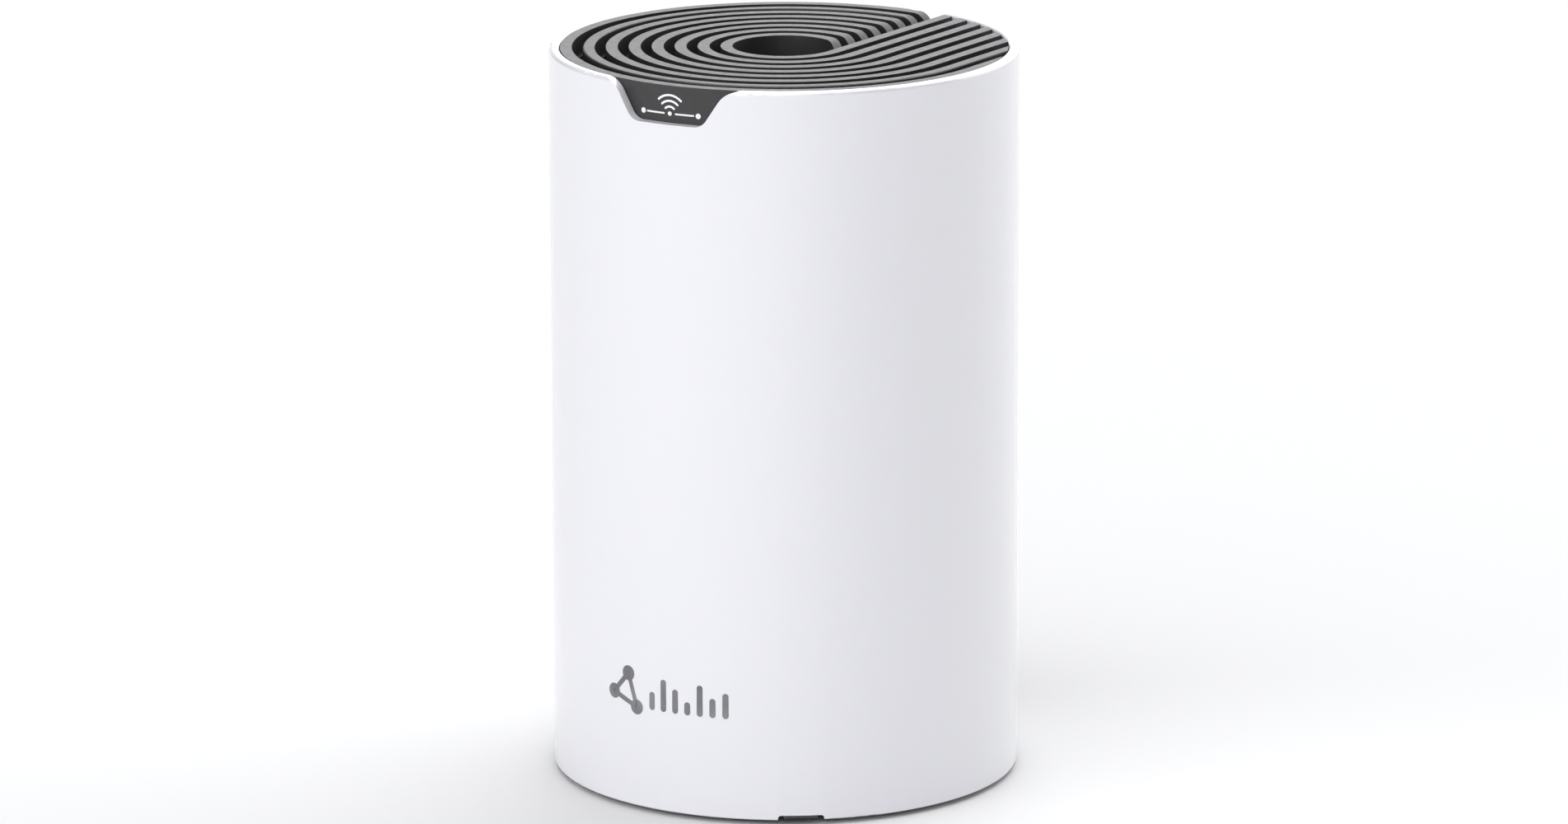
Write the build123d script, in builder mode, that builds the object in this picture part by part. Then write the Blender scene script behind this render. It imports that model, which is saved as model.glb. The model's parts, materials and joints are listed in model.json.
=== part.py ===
from build123d import *
import math
import os

os.makedirs("parts", exist_ok=True)

# Mesh wifi node, millimetres. +Z is up, -Y is the front, the rubber feet stand on z = 0.
# Angles called "right of front" turn from -Y towards +X.

# Driving dimensions of the housing
body_radius = 45.35
sleeve_wall = 2.0
sleeve_bottom_z = 1.0
rim_z = 143.15
slack = 0.15
inner_radius = body_radius - sleeve_wall
ledge_width = 1.75
ledge_top_z = 133.0
ledge_height = 2.0
rim_round = 0.7
rim_bevel = 0.3
foot_round = 0.3
cut_start = 30.0
cut_reach = 20.0

# Swirl cap: eight ridges on one pitch round a sunken disc
cap_radius = inner_radius - slack
ridge_top_z = rim_z - 0.15
ridge_count = 8
ridge_pitch = 4.42
ridge_width = 2.27
ridge_round = 0.25
sill_height = 1.0
disc_radius = 10.0
groove_depth = 4.0
disc_depth = 5.0
cap_floor = 1.5
skirt_wall = 1.8
ramp_start_x = 3.8
ramp_radius = 3.4
ramp_angle = 50.0
ramp_foot_height = 0.05
arc_end_x = 9.3
groove_floor_z = ridge_top_z - groove_depth
disc_floor_z = ridge_top_z - disc_depth

vent_slots = 7
vent_first_angle = 98.0
vent_step = 37.0
vent_span = 30.0
vent_width = 1.2
hook_count = 3
hook_width = 8.0
hook_wall = 1.2
hook_taper = 0.2
hook_reach = 0.7
hook_lead_in = 0.9
hook_top_z = ledge_top_z - ledge_height - 0.1
hook_bottom_z = hook_top_z - 1.8

# Cut-outs of the sleeve
flag_angle = 3.2
flag_bottom_z = 135.9
flag_half_bottom = 7.61
flag_half_top = 12.31
flag_foot_round = 3.0
flag_lip_round = 5.0
flag_lip_z = rim_z + 0.03
flag_reach = 25.0
above_rim = 5.0
dip_depth = 3.1
dip_start_x = -0.5
dip_end_x = -8.0
dip_bend = 3.0
window_width = 23.0
window_bottom_z = 9.5
window_top_z = 77.5
window_corner = 4.0
lamp_angle = 36.7
lamp_notch_width = 8.9
lamp_notch_height = 0.95
lamp_notch_corner = 0.6

# Base
plate_bottom_z = 1.4
plate_thickness = 3.0
plate_top_z = plate_bottom_z + plate_thickness
foot_radius = 4.0
foot_circle = 34.0
foot_count = 4
foot_start = 60.0
foot_gap = 0.02
screw_circle = 39.0
base_screw_count = 4
base_screw_start = 15.0
foot_recess = 0.6
label_radius = 17.0
label_gap = 0.2
label_recess = 0.15
label_film = 0.2
plate_bevel = 0.4
vent_circle = 27.0
base_vent_count = 24
base_vent_length = 5.0
base_vent_width = 1.6
screw_radius = 1.4
screw_head_radius = 2.6
screw_sink = 1.8
head_drop = 0.3
head_gap = 0.2
shank_gap = 0.1
thread_gap = 0.02
screw_end_gap = 0.4
driver_length = 2.6
driver_width = 0.6
driver_depth = 0.8

# Upright circuit board, its faces square to X
board_thickness = 1.6
board_front_x = -6.8
board_back_x = board_front_x - board_thickness
board_low_y = -32.0
board_high_y = 36.0
board_low_z = 9.0
board_high_z = 115.5
board_corner = 1.5
board_head_height = 1.6
board_screw_depth = 5.6

board_screw_spots = [(-28.0, 14.0), (-28.0, 110.0), (30.0, 80.0), (30.0, 110.0)]
chip_bevel = 0.2
can_height = 3.0
can_wall = 0.3
can_corner = 0.8
pad_thickness = 1.0
sink_base = 2.0
sink_screw_radius = 1.0
sink_screw_gap = 0.05
sink_screw_grip = 1.4
sink_head_radius = 2.2
sink_head_height = 1.4
sink_driver_length = 2.2
sink_driver_width = 0.5
sink_driver_depth = 0.7
sink_clear_radius = 3.2
sink_post_radius = 2.4
fin_pitch = 5.0
fin_thickness = 1.2
left_sink_spots = [(-20.0, 38.0), (20.0, 38.0), (-20.0, 78.0), (20.0, 78.0)]
right_sink_spots = [(12.0, 82.0), (12.0, 100.0)]
inductor_spots = [(0.0, 18.0), (-10.0, 18.0)]
capacitor_spots = [(9.0, 16.0), (17.0, 16.0)]

# Sockets on the rear edge of the board
socket_count = 3
socket_pitch = 17.0
first_socket_z = 32.0
socket_width = 16.0
socket_height = 13.5
socket_depth = 21.0
panel_back_y = 38.9
panel_flange = 2.0
flange_side = 1.8
flange_end = 1.5
panel_gap = 0.25
panel_bevel = 0.3
panel_opening = (9.6, 12.8)
panel_opening_corner = 0.4
panel_face_y = 41.6
shell_wall = 0.25
shell_corner = 0.4
shell_opening = (9.4, 12.4)
plug_width = 11.9
plug_height = 6.9
cavity_shift = 1.2
latch_step = (1.5, 6.2)
latch_step_shift = 2.9
latch_neck = (1.2, 4.0)
latch_neck_shift = 4.0
plug_depth = 14.0
contact_count = 8
contact_width = 0.35
contact_rise = 1.4
contact_thickness = 0.3
contact_root = 2.0
contact_tip = 1.6
contact_foot = 1.3
contact_pitch = 1.02
power_z = 16.0
power_axis_x = board_front_x + 6.5
power_pin_radius = 1.05
power_bore_radius = 3.15
power_bore_gap = 0.6
power_block_height = 11.0
power_block_width = 9.0
power_inset = 1.0
power_slot_width = 2.2
power_pin_round = 0.4
power_root_radius = 1.4
power_length = 14.2
power_bore_depth = 9.7
power_pin_length = 8.7

# Frame
ring_height = 3.0
frame_ring_radius = 42.8
frame_ring_inner = 35.0
frame_top_z = 119.0
post_depth = 5.0
post_width = 13.0
front_post_y = -30.5
rear_post_y = 30.0
post_hole_depth = 4.2
lamp_room_width = 15.0

# Status lamp
guide_width = 6.6
guide_gap = 0.2
guide_leg_depth = 1.8
guide_leg_rise = 2.0
guide_leg_radius = 39.5
guide_face_radius = 44.6
guide_bottom_z = 1.2
guide_top_z = 1.8
lamp_board_inner = 31.0
lamp_board_outer = 39.3
lamp_plug_z = 25.0

# Antennas
antenna_angles = (0.0, 120.0, 240.0)
antenna_plug_ys = (-17.0, 0.0, 17.0)
antenna_plug_z = 110.0
tray_radius = 42.4
tray_opening = 21.0
tray_thickness = 2.0
tray_slots = 12
tray_slot_start = 15.0
tray_slot_length = 9.0
tray_slot_width = 4.0
carrier_radius = 35.5
carrier_thickness = 1.6
carrier_width = 20.0
carrier_height = 13.0
feed_z = 125.0
feed_turn_radius = 28.0
lead_radius = 0.57
lead_gap = 0.05
lead_bend = 4.0

# Reset button
reset_x = board_front_x + 1.9
reset_y = -20.0
reset_radius = 1.5
reset_travel = 0.6
pinhole_gap = 0.3
reset_inset = 0.4
reset_collar = 0.9
reset_collar_gap = 0.1
reset_collar_height = 0.8
reset_dimple_radius = 0.8
reset_dimple_depth = 0.3
plunger_radius = 0.8
plunger_gap = 0.25
switch_size = (3.8, 6.0)
switch_height = 3.6
plunger_depth = 0.7
switch_tip_z = 8.0


def facing(angle):
    """Upright plane through the axis whose normal points out at this angle right of front."""
    turn = math.radians(angle)
    out = (math.sin(turn), -math.cos(turn), 0)
    side = (math.cos(turn), math.sin(turn), 0)
    return Plane(origin=(0, 0, 0), x_dir=side, z_dir=out)


def radial(angle):
    """Upright plane that holds the axis and the radius at this angle right of front."""
    turn = math.radians(angle)
    out = (math.sin(turn), -math.cos(turn), 0)
    side = (-math.cos(turn), -math.sin(turn), 0)
    return Plane(origin=(0, 0, 0), x_dir=out, z_dir=side)


def board_face(x):
    """Plane square to X at x, with sketch x along +Y and sketch y along +Z."""
    return Plane(origin=(x, 0, 0), x_dir=(0, 1, 0), z_dir=(1, 0, 0))


# Outer sleeve: one white tube with a rounded rim and an inner ledge for the cap
with BuildPart() as outer_sleeve:
    with BuildSketch(Plane.XZ):
        with BuildLine():
            Polyline(
                (inner_radius, sleeve_bottom_z),
                (body_radius, sleeve_bottom_z),
                (body_radius, rim_z),
                (inner_radius, rim_z),
                (inner_radius, ledge_top_z),
                (inner_radius - ledge_width, ledge_top_z),
                (inner_radius - ledge_width, ledge_top_z - ledge_height),
                (inner_radius, ledge_top_z - ledge_height),
                close=True,
            )
        make_face()
        fillet(vertices().group_by(Axis.Y)[-1].sort_by(Axis.X)[-1], radius=rim_round)
        chamfer(vertices().group_by(Axis.Y)[-1].sort_by(Axis.X)[0], length=rim_bevel)
        fillet(vertices().group_by(Axis.Y)[0].sort_by(Axis.X)[-1], radius=foot_round)
    revolve(axis=Axis.Z)
    # flag notch in the front of the rim
    with BuildSketch(facing(flag_angle)):
        with BuildLine():
            Polyline(
                (-flag_reach, rim_z + above_rim),
                (-flag_reach, flag_lip_z),
                (-flag_half_top, flag_lip_z),
                (-flag_half_bottom, flag_bottom_z),
                (flag_half_bottom, flag_bottom_z),
                (flag_half_top, flag_lip_z),
                (flag_reach, flag_lip_z),
                (flag_reach, rim_z + above_rim),
                close=True,
            )
        make_face()
        fillet(vertices().group_by(Axis.Y)[0], radius=flag_foot_round)
        lips = vertices().filter_by_position(Axis.X, -flag_half_top - 1, flag_half_top + 1)
        fillet(lips.group_by(Axis.Y)[-1], radius=flag_lip_round)
    extrude(amount=body_radius + above_rim, mode=Mode.SUBTRACT)
    # dip of the rim behind the channel of the cap
    with BuildSketch(facing(180).offset(cut_start)):
        with BuildLine():
            Bezier(
                (dip_start_x, rim_z),
                (dip_start_x - dip_bend, rim_z),
                (dip_end_x + dip_bend, rim_z - dip_depth),
                (dip_end_x, rim_z - dip_depth),
            )
            Polyline(
                (dip_end_x, rim_z - dip_depth),
                (-disc_radius, rim_z - dip_depth),
                (-disc_radius, rim_z + above_rim),
                (dip_start_x, rim_z + above_rim),
                (dip_start_x, rim_z),
            )
        make_face()
    extrude(amount=cut_reach, mode=Mode.SUBTRACT)
    # window for the sockets
    with BuildSketch(facing(180).offset(cut_start)):
        with Locations((0, (window_bottom_z + window_top_z) / 2)):
            RectangleRounded(window_width, window_top_z - window_bottom_z, window_corner)
    extrude(amount=cut_reach, mode=Mode.SUBTRACT)
    # shallow notch over the status lamp
    with BuildSketch(facing(lamp_angle).offset(cut_start)):
        with Locations((0, sleeve_bottom_z)):
            RectangleRounded(lamp_notch_width, 2 * lamp_notch_height, lamp_notch_corner)
    extrude(amount=cut_reach, mode=Mode.SUBTRACT)
outer_sleeve.part.label = "outer_sleeve"
export_step(outer_sleeve.part, "parts/outer_sleeve.step")

# Top cap: circular ridges that leave the circle on the right and run straight to the back
ramp_turn = math.radians(ramp_angle)
ramp_end_x = ramp_start_x + ramp_radius * math.sin(ramp_turn)
ramp_end_z = ridge_top_z - ramp_radius * (1 - math.cos(ramp_turn))
ramp_foot_z = groove_floor_z + ramp_foot_height
ramp_foot_x = ramp_end_x + (ramp_end_z - ramp_foot_z) / math.tan(ramp_turn)
with BuildPart() as top_cap:
    with BuildSketch(Plane.XY.offset(groove_floor_z - cap_floor)):
        Circle(cap_radius)
    extrude(amount=cap_floor)
    with BuildSketch(Plane.XY.offset(ledge_top_z)):
        Circle(cap_radius)
        Circle(cap_radius - skirt_wall, mode=Mode.SUBTRACT)
    extrude(amount=groove_floor_z - cap_floor - ledge_top_z)
    with BuildSketch(Plane.XY.offset(disc_floor_z - cap_floor)):
        Circle(disc_radius + cap_floor)
    extrude(amount=disc_depth - groove_depth)
    with BuildSketch(Plane.XY.offset(groove_floor_z)) as ridges:
        Circle(cap_radius)
        with Locations((cap_radius / 2, cap_radius / 2)):
            Rectangle(cap_radius, cap_radius, mode=Mode.SUBTRACT)
        for groove in range(ridge_count - 1):
            groove_inside = disc_radius + ridge_width + groove * ridge_pitch
            groove_outside = disc_radius + (groove + 1) * ridge_pitch
            with BuildSketch(mode=Mode.PRIVATE) as ring:
                Circle(groove_outside)
                Circle(groove_inside, mode=Mode.SUBTRACT)
            add(ring.sketch, mode=Mode.SUBTRACT)
        Circle(disc_radius, mode=Mode.SUBTRACT)
        # back right quarter: arcs as far as the channel, then the straight runs
        for ridge in range(ridge_count):
            ridge_inside = disc_radius + ridge * ridge_pitch
            with BuildSketch(mode=Mode.PRIVATE) as arc_end:
                Circle(min(ridge_inside + ridge_width, cap_radius))
                Circle(ridge_inside, mode=Mode.SUBTRACT)
                with Locations((arc_end_x / 2, cap_radius / 2)):
                    Rectangle(arc_end_x, cap_radius, mode=Mode.INTERSECT)
            add(arc_end.sketch)
            with BuildSketch(mode=Mode.PRIVATE) as straight_run:
                Circle(cap_radius)
                with Locations((ridge_inside + ridge_width / 2, cap_radius / 2)):
                    Rectangle(ridge_width, cap_radius, mode=Mode.INTERSECT)
            add(straight_run.sketch)
    extrude(amount=groove_depth)
    # the tops of all ridges are softened before their back ends are sloped away
    fillet(top_cap.faces().sort_by(Axis.Z)[-1].edges(), radius=ridge_round)
    # low sill along the channel, trimmed level with the foot of the ramp
    with BuildSketch(Plane.XY.offset(groove_floor_z)):
        Circle(cap_radius)
        with Locations(((ramp_foot_x + disc_radius) / 2, cap_radius / 2)):
            Rectangle(disc_radius - ramp_foot_x, cap_radius, mode=Mode.INTERSECT)
    extrude(amount=sill_height)
    with BuildSketch(Plane.XZ):
        with BuildLine():
            CenterArc((ramp_start_x, ridge_top_z - ramp_radius), ramp_radius, 90, -ramp_angle)
            Polyline(
                (ramp_end_x, ramp_end_z),
                (ramp_foot_x, ramp_foot_z),
                (disc_radius, ramp_foot_z),
                (disc_radius, rim_z + above_rim),
                (ramp_start_x, rim_z + above_rim),
                (ramp_start_x, ridge_top_z),
            )
        make_face()
    extrude(amount=-body_radius, mode=Mode.SUBTRACT)
    with BuildSketch(Plane.XY.offset(disc_floor_z)):
        Circle(disc_radius)
    extrude(amount=disc_depth - groove_depth, mode=Mode.SUBTRACT)
    # vent slots in the groove floors
    with BuildSketch(Plane.XY.offset(groove_floor_z - cap_floor - 1)):
        for groove in range(ridge_count - 1):
            groove_middle = disc_radius + (ridge_width + ridge_pitch) / 2 + groove * ridge_pitch
            for slot in range(vent_slots):
                slot_start = vent_first_angle + slot * vent_step
                SlotArc(CenterArc((0, 0), groove_middle, slot_start, vent_span), vent_width)
    extrude(amount=cap_floor + 2, mode=Mode.SUBTRACT)
    # three snap legs that hook under the ledge of the sleeve
    hook_radius = cap_radius - skirt_wall
    for leg in range(hook_count):
        with BuildSketch(radial(180 + leg * 360 / hook_count)):
            with BuildLine():
                Polyline(
                    (hook_radius - hook_wall, groove_floor_z - cap_floor),
                    (hook_radius - hook_wall, hook_bottom_z),
                    (hook_radius - hook_taper, hook_bottom_z),
                    (hook_radius + hook_reach, hook_bottom_z + hook_lead_in),
                    (hook_radius + hook_reach, hook_top_z),
                    (hook_radius, hook_top_z),
                    (hook_radius, groove_floor_z - cap_floor),
                    close=True,
                )
            make_face()
        extrude(amount=hook_width / 2, both=True)
top_cap.part.label = "top_cap"
export_step(top_cap.part, "parts/top_cap.step")

# Base plate: carries the frame, the feet, the label and the status lamp
reset_spot = (reset_x, reset_y)
with BuildPart() as base_plate:
    with BuildSketch(Plane.XY.offset(plate_bottom_z)):
        Circle(cap_radius)
    extrude(amount=plate_thickness)
    chamfer(base_plate.edges().group_by(Axis.Z)[0], length=plate_bevel)
    with BuildSketch(Plane.XY.offset(plate_bottom_z - 1)):
        with PolarLocations(vent_circle, base_vent_count):
            SlotOverall(base_vent_length, base_vent_width)
    extrude(amount=plate_thickness + 2, mode=Mode.SUBTRACT)
    with BuildSketch(Plane.XY.offset(plate_bottom_z)):
        Circle(label_radius + label_gap)
    extrude(amount=label_recess, mode=Mode.SUBTRACT)
    with BuildSketch(Plane.XY.offset(plate_bottom_z)):
        with PolarLocations(foot_circle, foot_count, start_angle=foot_start):
            Circle(foot_radius)
    extrude(amount=foot_recess, mode=Mode.SUBTRACT)
    # pinhole of the reset button
    with BuildSketch(Plane.XY.offset(plate_bottom_z)):
        with Locations(reset_spot):
            Circle(reset_radius + pinhole_gap)
    extrude(amount=plate_thickness, mode=Mode.SUBTRACT)
    # screw holes with sunk heads
    with BuildSketch(Plane.XY.offset(plate_bottom_z)):
        with PolarLocations(screw_circle, base_screw_count, start_angle=base_screw_start):
            Circle(screw_head_radius + head_gap)
    extrude(amount=screw_sink, mode=Mode.SUBTRACT)
    with BuildSketch(Plane.XY.offset(plate_bottom_z)):
        with PolarLocations(screw_circle, base_screw_count, start_angle=base_screw_start):
            Circle(screw_radius + shank_gap)
    extrude(amount=plate_thickness, mode=Mode.SUBTRACT)
    # slot for the light guide, open at the rim
    with BuildSketch(facing(lamp_angle).offset(guide_leg_radius - guide_gap)):
        with Locations((0, plate_bottom_z + plate_thickness / 2)):
            Rectangle(guide_width + 2 * guide_gap, plate_thickness + 1)
    extrude(amount=cut_reach, mode=Mode.SUBTRACT)
base_plate.part.label = "base_plate"
export_step(base_plate.part, "parts/base_plate.step")

with BuildPart() as rubber_feet:
    with BuildSketch():
        with PolarLocations(foot_circle, foot_count, start_angle=foot_start):
            Circle(foot_radius - foot_gap)
    extrude(amount=plate_bottom_z + foot_recess)
    chamfer(rubber_feet.edges().group_by(Axis.Z)[0], length=plate_bevel)
rubber_feet.part.label = "rubber_feet"
export_step(rubber_feet.part, "parts/rubber_feet.step")

with BuildPart() as rating_label:
    with BuildSketch(Plane.XY.offset(plate_bottom_z + label_recess - label_film)):
        Circle(label_radius)
    extrude(amount=label_film)
rating_label.part.label = "rating_label"
export_step(rating_label.part, "parts/rating_label.step")

with BuildPart() as base_screws:
    with BuildSketch(Plane.XY.offset(plate_bottom_z + head_drop)):
        with PolarLocations(screw_circle, base_screw_count, start_angle=base_screw_start):
            Circle(screw_head_radius)
    extrude(amount=screw_sink - head_drop)
    with BuildSketch(Plane.XY.offset(plate_bottom_z + screw_sink)):
        with PolarLocations(screw_circle, base_screw_count, start_angle=base_screw_start):
            Circle(screw_radius)
    extrude(amount=plate_thickness - screw_sink + ring_height - screw_end_gap)
    with BuildSketch(Plane.XY.offset(plate_bottom_z + head_drop)):
        with PolarLocations(screw_circle, base_screw_count, start_angle=base_screw_start):
            Rectangle(driver_length, driver_width)
            Rectangle(driver_width, driver_length)
    extrude(amount=driver_depth, mode=Mode.SUBTRACT)
base_screws.part.label = "base_screws"
export_step(base_screws.part, "parts/base_screws.step")

# Port panel: flat black insert that stands in the window of the sleeve
socket_spots = [(0, first_socket_z + number * socket_pitch) for number in range(socket_count)]
with BuildPart() as port_panel:
    with BuildSketch(facing(180).offset(panel_back_y)):
        with Locations((0, (window_bottom_z + window_top_z) / 2)):
            Rectangle(window_width + 2 * flange_side, window_top_z - window_bottom_z + 2 * flange_end)
    extrude(amount=panel_flange)
    with BuildSketch(facing(180).offset(panel_back_y + panel_flange)):
        with Locations((0, (window_bottom_z + window_top_z) / 2)):
            face_width = window_width - 2 * panel_gap
            face_height = window_top_z - window_bottom_z - 2 * panel_gap
            RectangleRounded(face_width, face_height, window_corner - panel_gap)
    extrude(amount=panel_face_y - panel_back_y - panel_flange)
    chamfer(port_panel.edges().group_by(Axis.Y)[-1], length=panel_bevel)
    with BuildSketch(facing(180).offset(panel_back_y)):
        with Locations(*socket_spots):
            RectangleRounded(*panel_opening, panel_opening_corner)
        with Locations((-power_axis_x, power_z)):
            Circle(power_bore_radius + power_bore_gap)
    extrude(amount=cut_reach, mode=Mode.SUBTRACT)
port_panel.part.label = "port_panel"
export_step(port_panel.part, "parts/port_panel.step")

# Inner frame: bottom ring, two posts behind the board, top ring
post_middle_x = board_back_x - post_depth / 2
with BuildPart() as inner_frame:
    for ring_z in (plate_top_z, frame_top_z - ring_height):
        with BuildSketch(Plane.XY.offset(ring_z)):
            Circle(frame_ring_radius)
            Circle(frame_ring_inner, mode=Mode.SUBTRACT)
        extrude(amount=ring_height)
    with BuildSketch(Plane.XY.offset(plate_top_z)):
        with Locations((post_middle_x, front_post_y), (post_middle_x, rear_post_y)):
            Rectangle(post_depth, post_width)
    extrude(amount=frame_top_z - plate_top_z)
    # room for the lamp board
    with BuildSketch(facing(lamp_angle).offset(lamp_board_inner - 1)):
        with Locations((0, plate_top_z + ring_height / 2)):
            Rectangle(lamp_room_width, ring_height + 1)
    extrude(amount=cut_reach, mode=Mode.SUBTRACT)
    with BuildSketch(Plane.XY.offset(plate_top_z)):
        with PolarLocations(screw_circle, base_screw_count, start_angle=base_screw_start):
            Circle(screw_radius + thread_gap)
    extrude(amount=ring_height - 0.2, mode=Mode.SUBTRACT)
    with BuildSketch(board_face(board_back_x)):
        with Locations(*board_screw_spots):
            Circle(screw_radius + thread_gap)
    extrude(amount=-post_hole_depth, mode=Mode.SUBTRACT)
inner_frame.part.label = "inner_frame"
export_step(inner_frame.part, "parts/inner_frame.step")

# Antenna tray: ring with three upright carriers
with BuildPart() as antenna_tray:
    with BuildSketch(Plane.XY.offset(frame_top_z)):
        Circle(tray_radius)
        Circle(tray_opening, mode=Mode.SUBTRACT)
    extrude(amount=tray_thickness)
    with BuildSketch(Plane.XY.offset(frame_top_z)):
        with PolarLocations((tray_opening + frame_ring_inner) / 2, tray_slots, start_angle=tray_slot_start):
            SlotOverall(tray_slot_length, tray_slot_width)
    extrude(amount=tray_thickness, mode=Mode.SUBTRACT)
    for angle in antenna_angles:
        with BuildSketch(facing(angle).offset(carrier_radius)):
            with Locations((0, frame_top_z + tray_thickness + carrier_height / 2)):
                Rectangle(carrier_width, carrier_height)
            with Locations((0, feed_z)):
                Circle(lead_radius + lead_gap, mode=Mode.SUBTRACT)
        extrude(amount=carrier_thickness)
antenna_tray.part.label = "antenna_tray"
export_step(antenna_tray.part, "parts/antenna_tray.step")

# Main board
with BuildPart() as main_board:
    with BuildSketch(board_face(board_back_x)):
        with Locations(((board_low_y + board_high_y) / 2, (board_low_z + board_high_z) / 2)):
            Rectangle(board_high_y - board_low_y, board_high_z - board_low_z)
        fillet(vertices(), radius=board_corner)
        with Locations(*board_screw_spots):
            Circle(screw_radius + 0.1, mode=Mode.SUBTRACT)
        with Locations(*left_sink_spots, *right_sink_spots):
            Circle(sink_screw_radius + thread_gap, mode=Mode.SUBTRACT)
    extrude(amount=board_thickness)
main_board.part.label = "main_board"
export_step(main_board.part, "parts/main_board.step")

with BuildPart() as board_screws:
    with BuildSketch(board_face(board_front_x)):
        with Locations(*board_screw_spots):
            Circle(screw_head_radius)
    extrude(amount=board_head_height)
    with BuildSketch(board_face(board_front_x)):
        with Locations(*board_screw_spots):
            Circle(screw_radius)
    extrude(amount=-board_screw_depth)
    with BuildSketch(board_face(board_front_x + board_head_height)):
        with Locations(*board_screw_spots):
            Rectangle(driver_length, driver_width)
            Rectangle(driver_width, driver_length)
    extrude(amount=-driver_depth, mode=Mode.SUBTRACT)
board_screws.part.label = "board_screws"
export_step(board_screws.part, "parts/board_screws.step")


def chip(spot, size, height, label):
    """Flat package on the front face of the board, or on its back face where height is negative."""
    seat = board_front_x if height > 0 else board_back_x
    with BuildPart() as package:
        with BuildSketch(board_face(seat)):
            with Locations(spot):
                Rectangle(*size)
        extrude(amount=height)
        outer = package.edges().group_by(Axis.X)[-1 if height > 0 else 0]
        chamfer(outer, length=chip_bevel)
    package.part.label = label
    export_step(package.part, f"parts/{label}.step")


chip((-9.5, 91.5), (15, 15), 1.2, "processor")
chip((-21.0, 91.0), (7, 13), 1.1, "memory_chip")
chip((-20.0, 66.0), (5, 6), 1.6, "flash_chip")
chip((-6.0, 49.0), (12, 12), 1.0, "switch_chip")
chip((-9.0, 58.0), (9, 9), -0.9, "radio_chip_low")
chip((9.0, 58.0), (9, 9), -0.9, "radio_chip_high")


def shield_can(middle, size, height, label):
    """Sheet metal can over chips, open towards the board."""
    seat = board_front_x if height > 0 else board_back_x
    with BuildPart() as can:
        with BuildSketch(board_face(seat)):
            with Locations(middle):
                Rectangle(*size)
        extrude(amount=height)
        fillet(can.edges().filter_by(Axis.X), radius=can_corner)
        with BuildSketch(board_face(seat)):
            with Locations(middle):
                Rectangle(size[0] - 2 * can_wall, size[1] - 2 * can_wall)
        extrude(amount=height - math.copysign(can_wall, height), mode=Mode.SUBTRACT)
    can.part.label = label
    export_step(can.part, f"parts/{label}.step")


shield_can((-13.0, 91.0), (26, 24), can_height, "shield_can_processor")
shield_can((0.0, 58.0), (36, 24), -can_height, "shield_can_radio")

# Thermal pads between the cans and the heat sinks
with BuildPart() as thermal_pads:
    with BuildSketch(board_face(board_front_x + can_height)):
        with Locations((-13.0, 91.0)):
            Rectangle(22, 20)
    extrude(amount=pad_thickness)
    with BuildSketch(board_face(board_back_x - can_height)):
        with Locations((0.0, 58.0)):
            Rectangle(30, 20)
    extrude(amount=-pad_thickness)
thermal_pads.part.label = "thermal_pads"
export_step(thermal_pads.part, "parts/thermal_pads.step")


def heat_sink(middle, size, spots, side, fin_height, label):
    """Finned aluminium plate; side is 1 over the front face of the board and -1 over the back."""
    seat = board_front_x if side > 0 else board_back_x
    base_x = seat + side * (can_height + pad_thickness)
    fin_count = int(size[0] // fin_pitch)
    with BuildPart() as sink:
        with BuildSketch(board_face(base_x)):
            with Locations(middle):
                Rectangle(*size)
        extrude(amount=side * sink_base)
        with BuildSketch(board_face(base_x + side * sink_base)):
            with Locations(middle):
                with GridLocations(fin_pitch, 0, fin_count, 1):
                    Rectangle(fin_thickness, size[1])
        extrude(amount=side * fin_height)
        # clear round the screw heads, posts down to the board, through holes
        with BuildSketch(board_face(base_x + side * sink_base)):
            with Locations(*spots):
                Circle(sink_clear_radius)
        extrude(amount=side * fin_height, mode=Mode.SUBTRACT)
        with BuildSketch(board_face(seat)):
            with Locations(*spots):
                Circle(sink_post_radius)
        extrude(amount=side * (can_height + pad_thickness))
        with BuildSketch(board_face(seat)):
            with Locations(*spots):
                Circle(sink_screw_radius + sink_screw_gap)
        extrude(amount=side * cut_reach, mode=Mode.SUBTRACT)
    sink.part.label = label
    export_step(sink.part, f"parts/{label}.step")


heat_sink((-6.0, 91.0), (46, 26), right_sink_spots, 1, 11.0, "heatsink_right")
heat_sink((0.0, 58.0), (46, 48), left_sink_spots, -1, 9.0, "heatsink_left")

with BuildPart() as heatsink_screws:
    for side, seat, spots in (
        (1, board_front_x, right_sink_spots),
        (-1, board_back_x, left_sink_spots),
    ):
        head_x = seat + side * (can_height + pad_thickness + sink_base)
        with BuildSketch(board_face(head_x)):
            with Locations(*spots):
                Circle(sink_head_radius)
        extrude(amount=side * sink_head_height)
        with BuildSketch(board_face(head_x)):
            with Locations(*spots):
                Circle(sink_screw_radius)
        extrude(amount=-side * (can_height + pad_thickness + sink_base + sink_screw_grip))
        with BuildSketch(board_face(head_x + side * sink_head_height)):
            with Locations(*spots):
                Rectangle(sink_driver_length, sink_driver_width)
                Rectangle(sink_driver_width, sink_driver_length)
        extrude(amount=-side * sink_driver_depth, mode=Mode.SUBTRACT)
heatsink_screws.part.label = "heatsink_screws"
export_step(heatsink_screws.part, "parts/heatsink_screws.step")


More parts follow.
